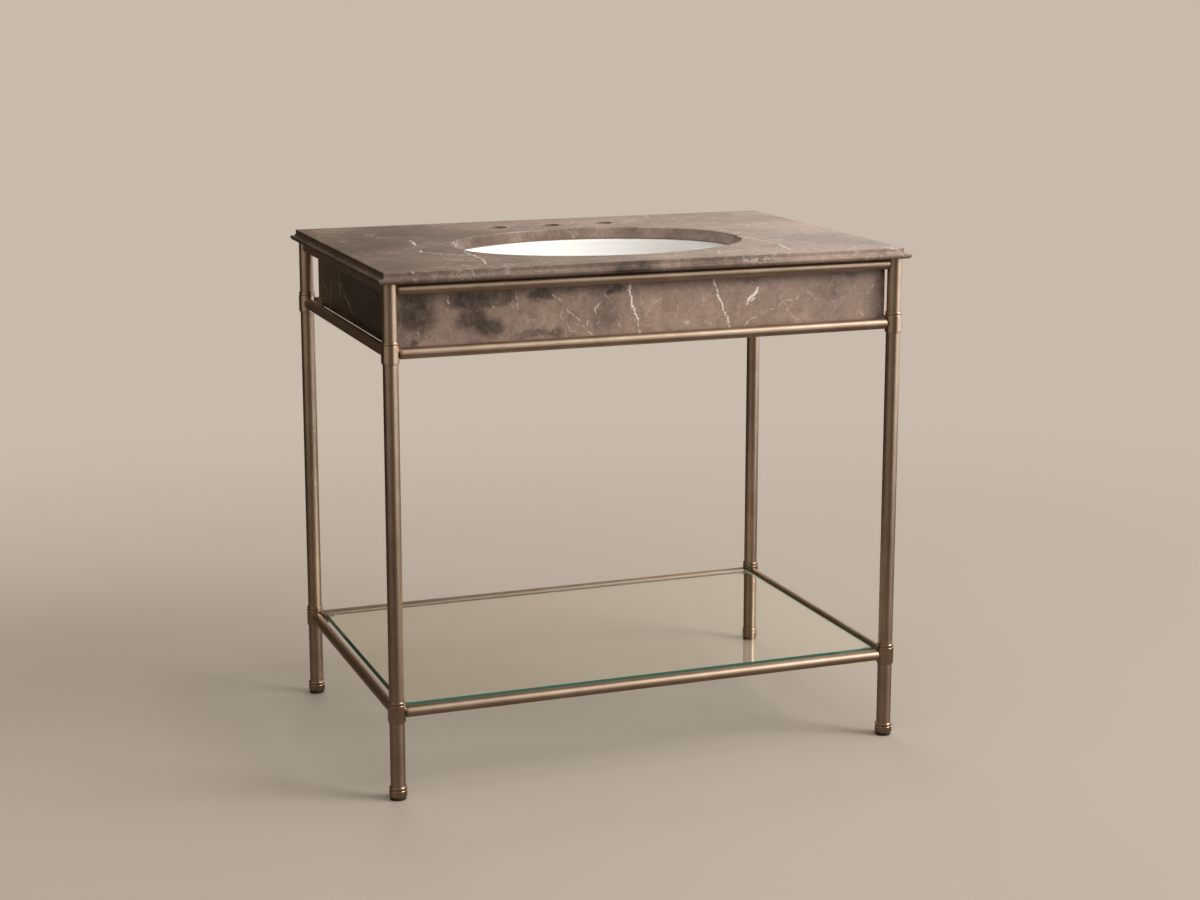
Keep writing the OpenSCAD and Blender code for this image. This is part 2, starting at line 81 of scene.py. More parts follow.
# What is laid into each slab of stone, in mm. A cloud, or a patch of painted shade on the
# front apron, is a centre, two half sizes and a strength. A vein is a width, a strength and
# the points that it runs through. Both are placed on the face that shows them: across and up
# on the front apron, to the back and up on the left apron, across and to the back on the top.
FRONT_CLOUDS_AND_SHADE = (
    (-396, 786, 33, 30, 1.0),
    (-420, 745, 26, 24, 0.5),
    (-393, 740, 6, 5, 0.8),
    (-300, 798, 38, 13, 1.0),
    (-298, 772, 24, 17, 1.0),
    (-276, 757, 25, 14, 1.0),
    (-254, 802, 26, 12, 0.8),
    (-182, 805, 20, 8, 0.9),
    (-188, 744, 40, 7, 0.7),
    (-58, 806, 15, 7, 1.0),
    (-76, 764, 26, 26, 0.35),
    (322, 788, 24, 16, 0.3),
    # Painted shade: four dark bands along the apron's top edge, for the shadow under the upper rail
    # and the top's overhang
    (-120, 816, 70, 8, 0.45),
    (50, 816, 60, 6, 0.4),
    (205, 816, 80, 7, 0.4),
    (350, 816, 70, 8, 0.5),
    # Painted shade: a dark strip at the apron's right end, for the shadow of the front right leg
    (428, 770, 8, 50, 0.5),
)
FRONT_VEINS = (
    (3.2, 1.0, (
        (-34, 815), (-35, 803), (-31, 793), (-30, 782), (-24, 770), (-25, 764), (-19, 755),
        (-21, 748), (-18, 735),
    )),
    (2.7, 1.0, (
        (114, 815), (115, 806), (120, 798), (119, 789), (127, 775), (129, 764), (135, 756),
        (137, 744), (141, 735),
    )),
    (1.1, 0.75, ((-74, 798), (-93, 776), (-107, 757), (-108, 745), (-99, 734))),
    (0.7, 0.45, ((-74, 798), (-60, 780), (-49, 757), (-57, 736))),
    (1.1, 0.75, ((-165, 806), (-155, 798), (-149, 784), (-134, 771), (-122, 758))),
    (0.8, 0.6, ((-149, 784), (-152, 764), (-140, 758), (-118, 748), (-100, 738))),
    (0.7, 0.5, ((-140, 758), (-137, 745), (-124, 740))),
    (0.8, 0.6, ((-228, 815), (-223, 798), (-224, 783))),
    (1.7, 0.75, ((-338, 806), (-338, 797))),
    (0.6, 0.3, ((-344, 790), (-335, 770), (-333, 742))),
    (5.5, 1.0, ((190, 795), (186, 787), (181, 785), (175, 779))),
    (3.0, 0.8, ((190, 784), (180, 775))),
    (2.5, 0.7, ((178, 780), (171, 769))),
    (2.2, 0.4, ((156, 768), (159, 765))),
    (1.6, 0.8, ((-379, 749), (-377, 748))),
    (1.4, 0.6, ((-391, 758), (-389, 752))),
    (1.6, 0.8, ((-265, 790), (-264, 788))),
    (1.0, 0.5, ((-244, 769), (-240, 772))),
    (1.0, 0.4, ((-232, 797), (-234, 790), (-231, 786))),
    (1.2, 0.5, ((-90, 757), (-91, 752))),
    (0.8, 0.35, ((95, 797), (93, 770), (95, 745))),
    (1.6, 0.45, ((60, 745), (72, 748), (66, 741))),
    (1.0, 0.35, ((98, 744), (128, 741))),
    (2.2, 0.4, ((383, 744), (387, 738))),
    (0.8, 0.35, ((165, 735), (190, 750))),
    (0.7, 0.45, ((-9, 773), (20, 787), (44, 797), (78, 812))),
    (0.6, 0.35, ((14, 814), (18, 799), (24, 789))),
    (1.1, 0.5, ((166, 736), (198, 753), (228, 762), (240, 773), (262, 775))),
    (0.9, 0.55, ((262, 775), (266, 784), (256, 794), (250, 806))),
    (0.8, 0.5, ((244, 759), (252, 749), (270, 735))),
    (0.8, 0.4, ((276, 788), (300, 774), (322, 766), (342, 769), (364, 785), (374, 803))),
    (1.0, 0.45, ((406, 791), (394, 783), (386, 766), (374, 754), (372, 738))),
    (0.6, 0.35, ((336, 760), (326, 745), (318, 735))),
)
SIDE_VEINS = (
    (3.8, 1.0, ((152, 738), (149, 758), (142, 778))),
    (2.8, 0.9, ((192, 766), (180, 760), (168, 745))),
    (4.0, 0.95, ((88, 806), (84, 786), (80, 768))),
    (3.4, 0.95, ((74, 784), (50, 772), (22, 760), (-8, 746))),
    (1.2, 0.45, ((-60, 806), (-120, 790), (-150, 795))),
    (1.2, 0.4, ((130, 800), (110, 770), (104, 740))),
    (1.4, 0.5, ((80, 768), (96, 752), (100, 738))),
)
TOP_CLOUDS = (
    (-400, 40, 60, 150, 0.6),
    (-300, 190, 120, 70, 0.45),
    (-250, 262, 90, 26, 0.4),
    (-340, -60, 50, 40, 0.3),
    (-40, -304, 40, 12, 0.9),
    (150, -302, 90, 10, 0.35),
)
TOP_VEINS = (
    (2.8, 1.0, ((-300, 82), (-308, 15))),
    (3.0, 0.9, ((-318, -55), (-322, -72), (-298, -110), (-258, -136))),
    (2.6, 0.9, ((-257, -96), (-254, -180), (-268, -246))),
    (1.5, 0.45, ((-390, 110), (-340, 140), (-290, 130))),
    (4.6, 0.5, ((-336, -236), (-320, -228))),
    (2.4, 0.55, ((-306, -240), (-296, -262))),
    (2.2, 0.8, ((-402, -296), (-398, -308))),
    (1.8, 0.6, ((-126, -290), (-120, -306))),
    (2.4, 0.8, ((130, -260), (138, -236))),
    (3.0, 0.7, ((240, 0), (262, -90), (272, -180), (258, -256))),
    (1.6, 0.45, ((250, -60), (310, -20), (360, -28))),
    (5.0, 0.3, ((262, 40), (276, -10))),
    (6.0, 0.4, ((282, -122), (300, -134))),
    (1.4, 0.4, ((262, -100), (250, -60), (262, -20))),
    (1.2, 0.4, ((-282, 128), (-272, 96))),
    (1.2, 0.4, ((-264, -150), (-240, -190), (-214, -236))),
    (1.0, 0.35, ((-322, -70), (-340, -30))),
    (6.0, 0.3, ((412, -118), (424, -130))),
    (4.0, 0.4, ((352, -284), (372, -270))),
    (4.0, 0.45, ((410, -286), (436, -280))),
    (1.2, 0.35, ((-180, -240), (-60, -262), (60, -256))),
    (3.0, 0.4, ((376, -236), (398, -260))),
    (2.0, 0.5, ((322, -290), (344, -297))),
    (5.0, 0.4, ((424, -298), (446, -302))),
    (1.4, 0.4, ((300, -70), (340, -110), (350, -160))),
    (1.2, 0.35, ((180, 236), (236, 250), (300, 236))),
    (1.2, 0.35, ((-420, -120), (-380, -160), (-366, -220))),
)

# The body of the stone, from its darkest tone to its palest. No two slabs are alike: the
# top is greyer than the front apron. The left apron's tones are painted shade: the same
# stone painted darker, for the side that lies away from the light.
TAUPE = ("#8d786c", "#9b8474", "#a99081")
GREY_TAUPE = ("#705e54", "#826f63", "#958074")
SHADED_TAUPE = ("#54453a", "#665448", "#7e6a5b")
# What is laid into it
WHITE_VEIN = "#faf2e8"
TAN_WEB = "#b39c8a"
# Charcoal is also the colour of the painted shade on the front apron
CHARCOAL_AND_SHADE = "#393029"

# How wide the stone's own patterns are, in metres
TONE_DRIFT = 166.7 * MM
GRAIN = 16.67 * MM
WANDER = 31.25 * MM
CLOUD = 142.9 * MM
BROKEN_PATCH = 90.91 * MM
CRACK_CELL = 71.43 * MM
WEB_CELL = 20.83 * MM
CRYSTAL_CELL = 14 * MM
# How far what is laid into it strays: the clouds, the bends of the veins and their jags
CLOUD_STRAY = 40 * MM
VEIN_STRAY = 18 * MM
VEIN_JAG = 14 * MM


def on_face(axes, depth, first, second):
    """A point on a flat face of the stone: two of its coordinates in mm, and the face's own
    one in metres."""
    point = {axes[0]: first * MM, axes[1]: second * MM}
    return tuple(point.get(axis, depth) for axis in "xyz")


def from_streak(tree, place, start, end):
    """How far a point is from the straight line between two ends, in metres."""
    span = [b - a for a, b in zip(start, end)]
    squared = sum(c * c for c in span)
    away = add(tree, "ShaderNodeVectorMath", {0: place, 1: start}, operation="SUBTRACT")
    share = [c / squared for c in span]
    dot = add(tree, "ShaderNodeVectorMath", {0: away, 1: share}, operation="DOT_PRODUCT")
    along = add(tree, "ShaderNodeClamp", {"Value": dot.outputs["Value"]})
    nearest = add(tree, "ShaderNodeVectorMath", {0: span, "Scale": along}, operation="SCALE")
    gap = add(tree, "ShaderNodeVectorMath", {0: away, 1: nearest}, operation="DISTANCE")
    return gap.outputs["Value"]


def placed_veins(tree, place, thin, axes, depth, veins):
    """Where the placed veins run: their strength on a vein, 0 off it. A vein is full in its
    core and gone at its edge, which is wide enough for hair veins to show in the render."""
    all_veins = None
    for width, strength, points in veins:
        core = 0.25 * width * MM
        edge = (0.6 * width + 0.6) * MM
        ends = [on_face(axes, depth, *point) for point in points]
        gap = None
        for start, end in zip(ends, ends[1:]):
            step = from_streak(tree, place, start, end)
            if gap is not None:
                step = add(tree, "ShaderNodeMath", {0: gap, 1: step}, operation="MINIMUM")
            gap = step
        gap = add(tree, "ShaderNodeMath", {0: gap, 1: thin}, operation="MULTIPLY")
        line = add(tree, "ShaderNodeMapRange", {
            "Value": gap, "From Min": edge, "From Max": core, "To Max": strength,
        })
        if all_veins is not None:
            line = add(tree, "ShaderNodeMath", {0: all_veins, 1: line}, operation="MAXIMUM")
        all_veins = line
    return all_veins


def placed_clouds_and_shade(tree, place, axes, clouds_and_shade, cloud_and_shade):
    """The darker of the stone's own cloud and the placed clouds and patches of painted shade.
    A placed one is full well inside its half sizes and gone a little outside them."""
    full, gone = 0.7, 1.4
    for first, second, wide, high, strength in clouds_and_shade:
        centre = on_face(axes, 0, first, second)
        sizes = [1 / s if s else 0 for s in on_face(axes, 0, wide, high)]
        offset = add(tree, "ShaderNodeVectorMath", {0: place, 1: centre}, operation="SUBTRACT")
        scaled = add(tree, "ShaderNodeVectorMath", {0: offset, 1: sizes}, operation="MULTIPLY")
        reach = add(tree, "ShaderNodeVectorMath", {0: scaled}, operation="LENGTH")
        soft = add(tree, "ShaderNodeMapRange", {
            "Value": reach.outputs["Value"], "From Min": gone, "From Max": full,
            "To Max": strength,
        })
        cloud_and_shade = add(tree, "ShaderNodeMath", {0: cloud_and_shade, 1: soft}, operation="MAXIMUM")
    return cloud_and_shade


def taupe_marble(name, tones, axes="xz", depth=0.0, clouds_and_shade=(), veins=(), own_cloud=0.5,
                 painted_light_right=0.0):
    """Polished taupe marble: the eye gets a warm grey-brown stone with charcoal clouds, a
    fine tan network and a few white calcite veins, under a soft polish. Painted shade may be
    laid in among the clouds, and painted light may make the slab paler to its right."""
    material, tree = new_finish(name)
    place = add(tree, "ShaderNodeTexCoord").outputs["Object"]

    # The stone's tone drifts slowly, and its grain darkens and lightens it
    drift = add(tree, "ShaderNodeTexNoise", {
        "Vector": place, "Scale": 1 / TONE_DRIFT, "Detail": 5.0, "Roughness": 0.5,
        "Distortion": 0.6,
    })
    body = add(tree, "ShaderNodeValToRGB", {"Fac": drift})
    dark, pale = body.color_ramp.elements
    dark.position, dark.color = 0.36, linear(tones[0])
    pale.position, pale.color = 0.64, linear(tones[2])
    body.color_ramp.elements.new(0.5).color = linear(tones[1])
    grain = add(tree, "ShaderNodeTexNoise", {
        "Vector": place, "Scale": 1 / GRAIN, "Detail": 6.0, "Roughness": 0.8,
    })
    shade = add(tree, "ShaderNodeMapRange", {
        "Value": grain, "From Min": 0.35, "From Max": 0.65, "To Min": 0.74, "To Max": 1.24,
    })
    colour = add(tree, "ShaderNodeVectorMath", {0: body, "Scale": shade}, operation="SCALE")
    if painted_light_right:
        # Painted light and sheen: the slab is painted paler from its left end to its right one
        across = add(tree, "ShaderNodeSeparateXYZ", {"Vector": place}).outputs["X"]
        gain = add(tree, "ShaderNodeMapRange", {
            "Value": across, "From Min": cad_low[0], "From Max": cad_high[0],
            "To Min": 1 - painted_light_right, "To Max": 1 + painted_light_right,
        })
        colour = add(tree, "ShaderNodeVectorMath", {0: colour, "Scale": gain}, operation="SCALE")

    # What is laid into the stone strays from its drawn place, clouds more and veins less
    half = (0.5, 0.5, 0.5)  # the middle of a noise's colour
    wander = add(tree, "ShaderNodeTexNoise", {
        "Vector": place, "Scale": 1 / WANDER, "Detail": 6.0, "Roughness": 0.72,
    })
    centred = add(tree, "ShaderNodeVectorMath", {0: wander.outputs["Color"], 1: half},
                  operation="SUBTRACT")
    far = add(tree, "ShaderNodeVectorMath", {0: centred, "Scale": CLOUD_STRAY}, operation="SCALE")
    near = add(tree, "ShaderNodeVectorMath", {0: centred, "Scale": VEIN_STRAY}, operation="SCALE")
    for_clouds = add(tree, "ShaderNodeVectorMath", {0: place, 1: far}, operation="ADD")
    jag = add(tree, "ShaderNodeVectorMath", {0: grain.outputs["Color"], 1: half},
              operation="SUBTRACT")
    jag = add(tree, "ShaderNodeVectorMath", {0: jag, "Scale": VEIN_JAG}, operation="SCALE")
    for_veins = add(tree, "ShaderNodeVectorMath", {0: place, 1: near}, operation="ADD")
    for_veins = add(tree, "ShaderNodeVectorMath", {0: for_veins, 1: jag}, operation="ADD")

    # Charcoal clouds, with any patches of painted shade, thinner where the grain is pale
    own = add(tree, "ShaderNodeTexNoise", {
        "Vector": for_clouds, "Scale": 1 / CLOUD, "Detail": 4.0, "Roughness": 0.55,
    })
    own = add(tree, "ShaderNodeMapRange", {
        "Value": own, "From Min": 0.56, "From Max": 0.72, "To Max": own_cloud,
    })
    cloud_and_shade = placed_clouds_and_shade(tree, for_clouds, axes, clouds_and_shade, own)
    worn = add(tree, "ShaderNodeMapRange", {
        "Value": grain, "From Min": 0.35, "From Max": 0.68, "To Min": 1.0, "To Max": 0.6,
    })
    cloud_and_shade = add(tree, "ShaderNodeMath", {0: cloud_and_shade, 1: worn}, operation="MULTIPLY")
    colour = add(tree, "ShaderNodeMix", {
        "Factor": cloud_and_shade, "A": colour, "B": linear(CHARCOAL_AND_SHADE),
    }, data_type="RGBA").outputs["Result"]

    # Healed cracks make a fine pale network, and most of them are too faint to see
    cells = add(tree, "ShaderNodeTexVoronoi", {
        "Vector": for_clouds, "Scale": 1 / CRACK_CELL,
    }, feature="DISTANCE_TO_EDGE")
    crack = add(tree, "ShaderNodeMapRange", {
        "Value": cells, "From Min": 0.016, "From Max": 0.0, "To Max": 0.4,
    })
    patchy = add(tree, "ShaderNodeTexNoise", {
        "Vector": place, "Scale": 1 / BROKEN_PATCH, "Detail": 3.0,
    })
    healed = add(tree, "ShaderNodeMapRange", {
        "Value": patchy, "From Min": 0.52, "From Max": 0.66,
    })
    network = add(tree, "ShaderNodeMath", {0: crack, 1: healed}, operation="MULTIPLY")

    # Specks of calcite, 1 to 2 mm across, in a few places
    crystals = add(tree, "ShaderNodeTexVoronoi", {"Vector": for_veins, "Scale": 1 / CRYSTAL_CELL})
    speck = add(tree, "ShaderNodeMapRange", {
        "Value": crystals.outputs["Distance"], "From Min": 0.1, "From Max": 0.05,
        "To Max": 0.55,
    })
    few = add(tree, "ShaderNodeMapRange", {
        "Value": patchy, "From Min": 0.58, "From Max": 0.66,
    })
    speck = add(tree, "ShaderNodeMath", {0: speck, 1: few}, operation="MULTIPLY")
    white = add(tree, "ShaderNodeMath", {0: network, 1: speck}, operation="MAXIMUM")

    # Where the stone is most broken, a tan web joins the cracks
    broken = add(tree, "ShaderNodeTexVoronoi", {
        "Vector": for_clouds, "Scale": 1 / WEB_CELL,
    }, feature="DISTANCE_TO_EDGE")
    web = add(tree, "ShaderNodeMapRange", {
        "Value": broken, "From Min": 0.08, "From Max": 0.0, "To Max": 0.38,
    })
    where = add(tree, "ShaderNodeMapRange", {
        "Value": patchy, "From Min": 0.42, "From Max": 0.6,
    })
    web = add(tree, "ShaderNodeMath", {0: web, 1: where}, operation="MULTIPLY")
    web = add(tree, "ShaderNodeMath", {0: web, 1: shade}, operation="MULTIPLY")
    colour = add(tree, "ShaderNodeMix", {
        "Factor": web, "A": colour, "B": linear(TAN_WEB),
    }, data_type="RGBA").outputs["Result"]

    # The white veins thin and swell along their way
    thin = add(tree, "ShaderNodeMapRange", {
        "Value": grain, "From Min": 0.3, "From Max": 0.7, "To Min": 1.35, "To Max": 0.65,
    })
    if veins:
        placed = placed_veins(tree, for_veins, thin, axes, depth, veins)
        white = add(tree, "ShaderNodeMath", {0: white, 1: placed}, operation="MAXIMUM")
    colour = add(tree, "ShaderNodeMix", {
        "Factor": white, "A": colour, "B": linear(WHITE_VEIN),
    }, data_type="RGBA").outputs["Result"]

    # The polish is even, drifts a little with the tone, and dips by a hair in the veins
    dull = add(tree, "ShaderNodeMapRange", {
        "Value": drift, "From Min": 0.3, "From Max": 0.7, "To Min": 0.22, "To Max": 0.28,
    })
    relief = add(tree, "ShaderNodeBump", {
        "Height": white, "Strength": 0.1, "Distance": 0.1 * MM,
    }, invert=True)
    surface = add(tree, "ShaderNodeBsdfPrincipled", {
        "Base Color": colour, "Roughness": dull, "IOR": 1.5, "Normal": relief,
    })
    add(tree, "ShaderNodeOutputMaterial", {"Surface": surface})
    return material


# ---- Bronze ----

DARK_BRONZE = "#b29b86"
RUBBED_BRONZE = "#c3ae9a"
# Brush marks are 0.1 mm wide on the real metal, and wider here so that they show
BRUSH_WIDTH = 0.6 * MM
BRUSH_LENGTH = 60 * MM
PATINA = 55.56 * MM  # from one rubbed place to the next


def brushed_bronze(name, lie, tangent, roughness=0.34, depth=0.02 * MM, spread=0.15):
    """Antique bronze, brushed and lacquered: the eye gets a mid brown metal with satin
    highlights and a fine grain. The brush lies along one axis, or round a turned piece."""
    material, tree = new_finish(name)
    place = add(tree, "ShaderNodeTexCoord").outputs["Object"]
    stretch = [1 / BRUSH_LENGTH if axis in lie else 1 / BRUSH_WIDTH for axis in "xyz"]
    combed = add(tree, "ShaderNodeVectorMath", {0: place, 1: stretch}, operation="MULTIPLY")
    marks = add(tree, "ShaderNodeTexNoise", {
        "Vector": combed, "Scale": 1.0, "Detail": 3.0, "Roughness": 0.65,
    })
    patina = add(tree, "ShaderNodeTexNoise", {
        "Vector": place, "Scale": 1 / PATINA, "Detail": 4.0, "Roughness": 0.6,
    })
    rubbed = add(tree, "ShaderNodeMapRange", {
        "Value": patina, "From Min": 0.35, "From Max": 0.68,
    })
    colour = add(tree, "ShaderNodeMix", {
        "Factor": rubbed, "A": linear(DARK_BRONZE), "B": linear(RUBBED_BRONZE),
    }, data_type="RGBA").outputs["Result"]
    grain = add(tree, "ShaderNodeMapRange", {
        "Value": marks, "From Min": 0.3, "From Max": 0.7, "To Min": 0.93, "To Max": 1.06,
    })
    colour = add(tree, "ShaderNodeVectorMath", {0: colour, "Scale": grain}, operation="SCALE")
    vary = 0.04  # the marks are a little duller or brighter than the metal round them
    satin = add(tree, "ShaderNodeMapRange", {
        "Value": marks, "From Min": 0.3, "From Max": 0.7, "To Min": roughness - vary,
        "To Max": roughness + vary,
    })
    relief = add(tree, "ShaderNodeBump", {"Height": marks, "Strength": 0.25, "Distance": depth})
    turned = add(tree, "ShaderNodeTangent", direction_type="RADIAL", axis=tangent)
    surface = add(tree, "ShaderNodeBsdfPrincipled", {
        "Base Color": colour, "Metallic": 1.0, "Roughness": satin, "Anisotropic": spread,
        "Anisotropic Rotation": 0.25, "Normal": relief, "Tangent": turned,
    })
    add(tree, "ShaderNodeOutputMaterial", {"Surface": surface})
    return material


# ---- The other finishes ----

def vitreous_china():
    """Vitreous china, dipped in a clear-fired glaze: the eye gets a deep white gloss with a
    very slight ripple."""
    material, tree = new_finish("vitreous china glaze")
    place = add(tree, "ShaderNodeTexCoord").outputs["Object"]
    ripple = add(tree, "ShaderNodeTexNoise", {
        "Vector": place, "Scale": 1 / (25 * MM), "Detail": 2.0,
    })
    tint = add(tree, "ShaderNodeMix", {
        "Factor": ripple, "A": linear("#f1f1ef"), "B": linear("#f5f5f3"),
    }, data_type="RGBA")
    relief = add(tree, "ShaderNodeBump", {
        "Height": ripple, "Strength": 0.1, "Distance": 0.4 * MM,
    })
    surface = add(tree, "ShaderNodeBsdfPrincipled", {
        "Base Color": tint.outputs["Result"], "Roughness": 0.09, "IOR": 1.52,
        "Coat Weight": 0.5, "Coat Roughness": 0.04, "Normal": relief,
    })
    add(tree, "ShaderNodeOutputMaterial", {"Surface": surface})
    return material


def polished_glass():
    """Clear float glass with ground and polished edges: the eye gets almost no colour
    through its thickness and a dark or bright bottle green in its edges, as they are lit."""
    material, tree = new_finish("clear float glass")
    place = add(tree, "ShaderNodeTexCoord").outputs["Object"]
    # Float lines: a ripple in the thickness that only moves reflections
    lines = add(tree, "ShaderNodeTexNoise", {
        "Vector": place, "Scale": 1 / (83.33 * MM), "Detail": 1.0,
    })
    relief = add(tree, "ShaderNodeBump", {
        "Height": lines, "Strength": 0.05, "Distance": 0.3 * MM,
    })
    pane = add(tree, "ShaderNodeBsdfPrincipled", {
        "Base Color": linear("#fffbf2"), "Roughness": 0.01, "IOR": 1.52,
        "Transmission Weight": 1.0, "Normal": relief,
    })
    # The ground edges, which face sideways, scatter most of what falls on them: bottle green
    # as light comes back from outside, and paler as it comes out from inside
    sideways = 0.8  # a face whose normal has a smaller Z than this is an edge
    scatter = 0.75
    geometry = add(tree, "ShaderNodeNewGeometry")
    facing = add(tree, "ShaderNodeSeparateXYZ", {"Vector": geometry.outputs["True Normal"]})
    level = add(tree, "ShaderNodeMath", {0: facing.outputs["Z"]}, operation="ABSOLUTE")
    edge = add(tree, "ShaderNodeMath", {0: level, 1: sideways}, operation="LESS_THAN")
    share = add(tree, "ShaderNodeMath", {0: edge, 1: scatter}, operation="MULTIPLY")
    outside = add(tree, "ShaderNodeBsdfDiffuse", {"Color": linear("#55836f")})
    inside = add(tree, "ShaderNodeBsdfTranslucent", {"Color": linear("#bcc4b2")})
    ground = add(tree, "ShaderNodeMixShader", {
        "Fac": geometry.outputs["Backfacing"], 1: outside, 2: inside,
    })
    body = add(tree, "ShaderNodeMixShader", {"Fac": share, 1: pane, 2: ground})
    # Light on its way to or from the floor goes straight through
    passing = add(tree, "ShaderNodeBsdfTransparent", {"Color": linear("#f9faf8")})
    path = add(tree, "ShaderNodeLightPath")
    through = add(tree, "ShaderNodeMath", {
        0: path.outputs["Is Shadow Ray"], 1: path.outputs["Is Diffuse Ray"],
    }, operation="MAXIMUM")
    surface = add(tree, "ShaderNodeMixShader", {"Fac": through, 1: body, 2: passing})
    green = add(tree, "ShaderNodeVolumeAbsorption", {"Color": linear("#c6efd6"), "Density": 3.0})
    add(tree, "ShaderNodeOutputMaterial", {"Surface": surface, "Volume": green})
    return material


def moulded(name, dark, light, roughness, grit, **more):
    """A moulded plastic or rubber, or a tooled sealant: the eye gets a fine grit and an even,
    slightly varied tone."""
    material, tree = new_finish(name)
    place = add(tree, "ShaderNodeTexCoord").outputs["Object"]
    grain = add(tree, "ShaderNodeTexNoise", {
        "Vector": place, "Scale": 1 / grit, "Detail": 3.0,
    })
    tint = add(tree, "ShaderNodeMix", {
        "Factor": grain, "A": linear(dark), "B": linear(light),
    }, data_type="RGBA")
    relief = add(tree, "ShaderNodeBump", {
        "Height": grain, "Strength": 0.3, "Distance": 0.05 * MM,
    })
    surface = add(tree, "ShaderNodeBsdfPrincipled", {
        "Base Color": tint.outputs["Result"], "Roughness": roughness, "Normal": relief, **more,
    })
    add(tree, "ShaderNodeOutputMaterial", {"Surface": surface})
    return material


def zinc_plating():
    """Bright zinc plate on pressed steel: the eye gets a cool grey metal, clouded by the bath."""
    material, tree = new_finish("bright zinc plated steel")
    place = add(tree, "ShaderNodeTexCoord").outputs["Object"]
    bath = add(tree, "ShaderNodeTexNoise", {
        "Vector": place, "Scale": 1 / (8 * MM), "Detail": 4.0,
    })
    tint = add(tree, "ShaderNodeMix", {
        "Factor": bath, "A": linear("#9fa3a6"), "B": linear("#c3c4bd"),
    }, data_type="RGBA")
    dull = add(tree, "ShaderNodeMapRange", {"Value": bath, "To Min": 0.25, "To Max": 0.45})
    surface = add(tree, "ShaderNodeBsdfPrincipled", {
        "Base Color": tint.outputs["Result"], "Metallic": 1.0, "Roughness": dull,
    })
    add(tree, "ShaderNodeOutputMaterial", {"Surface": surface})
    return material


# ---- Putting the finishes on ----

# Where the faces lie that carry placed marks. A box is its low corner and its high one.
front_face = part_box("apron_front")[0][1]
left_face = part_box("apron_left")[0][0]
top_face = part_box("marble_top")[1][2]
front_apron = taupe_marble(
    "polished taupe marble, front apron", TAUPE, "xz", front_face, FRONT_CLOUDS_AND_SHADE, FRONT_VEINS,
    own_cloud=0.0)
dress(front_apron, "apron_front")
# The left apron is painted darker than the front, as painted shade on the side away from the light
left_apron = taupe_marble(
    "polished taupe marble, left apron", SHADED_TAUPE, "yz", left_face, (), SIDE_VEINS,
    own_cloud=0.3)
dress(left_apron, "apron_left")
# The top is painted paler to its right: painted light and sheen
top = taupe_marble(
    "polished taupe marble, top", GREY_TAUPE, "xy", top_face, TOP_CLOUDS, TOP_VEINS,
    own_cloud=0.35, painted_light_right=0.37)
dress(top, "marble_top")
right_apron = taupe_marble("polished taupe marble", TAUPE, own_cloud=0.8)
dress(right_apron, "apron_right", "apron_corner_blocks")

dress(vitreous_china(), "basin")
sealant = moulded("silicone sealant", "#7d6452", "#8c705c", roughness=0.45, grit=3 * MM)
dress(sealant, "basin_sealant")
dress(zinc_plating(), "basin_clips", "clip_studs", "clip_washers", "clip_wing_nuts", "foot_inserts")

upright = brushed_bronze("brushed antique bronze, upright tube", "z", "Z", spread=0.45)
turned = brushed_bronze(
    "turned antique bronze", "xy", "Z", roughness=0.21, depth=0.004 * MM, spread=0.3)
cross = brushed_bronze("brushed antique bronze, cross rail", "x", "X", roughness=0.42)
side = brushed_bronze("brushed antique bronze, side rail", "y", "Y", roughness=0.4)
for corner in ("front_left", "front_right", "back_left", "back_right"):
    dress(upright, *(f"{part}_leg_{corner}" for part in ("upper", "main", "lower")))
    dress(turned, f"apron_collar_{corner}", f"shelf_collar_{corner}", f"foot_ferrule_{corner}")
    nylon = moulded("black nylon", "#2b2521", "#3a322c", roughness=0.5, grit=1.5 * MM)
    dress(nylon, f"levelling_foot_{corner}")
for level in ("upper", "apron", "shelf"):
    dress(cross, f"{level}_rail_front", f"{level}_rail_back")
    dress(side, f"{level}_rail_left", f"{level}_rail_right")
dress(upright, "leg_top_plugs")
dress(cross, "shelf_corner_tabs")
dress(polished_glass(), "glass_shelf")
clear_rubber = moulded(
    "clear polyurethane", "#e4e6e2", "#f0f2ee", roughness=0.15, grit=2 * MM,
    **{"Transmission Weight": 0.9, "IOR": 1.5})
dress(clear_rubber, "shelf_bumpers")


# ---- Floor, light and camera ----

def seen_by_eye(tree, path):
    """1 for what the camera sees straight or through the glass, and 0 for light that bounces."""
    first_bounce = 0.5  # a depth below it means that nothing has scattered the light yet
    straight = add(tree, "ShaderNodeMath", {
        0: path.outputs["Diffuse Depth"], 1: first_bounce,
    }, operation="LESS_THAN")
    through = add(tree, "ShaderNodeMath", {
        0: path.outputs["Is Transmission Ray"], 1: straight,
    }, operation="MULTIPLY")
    return add(tree, "ShaderNodeMath", {
        0: path.outputs["Is Camera Ray"], 1: through,
    }, operation="MAXIMUM")


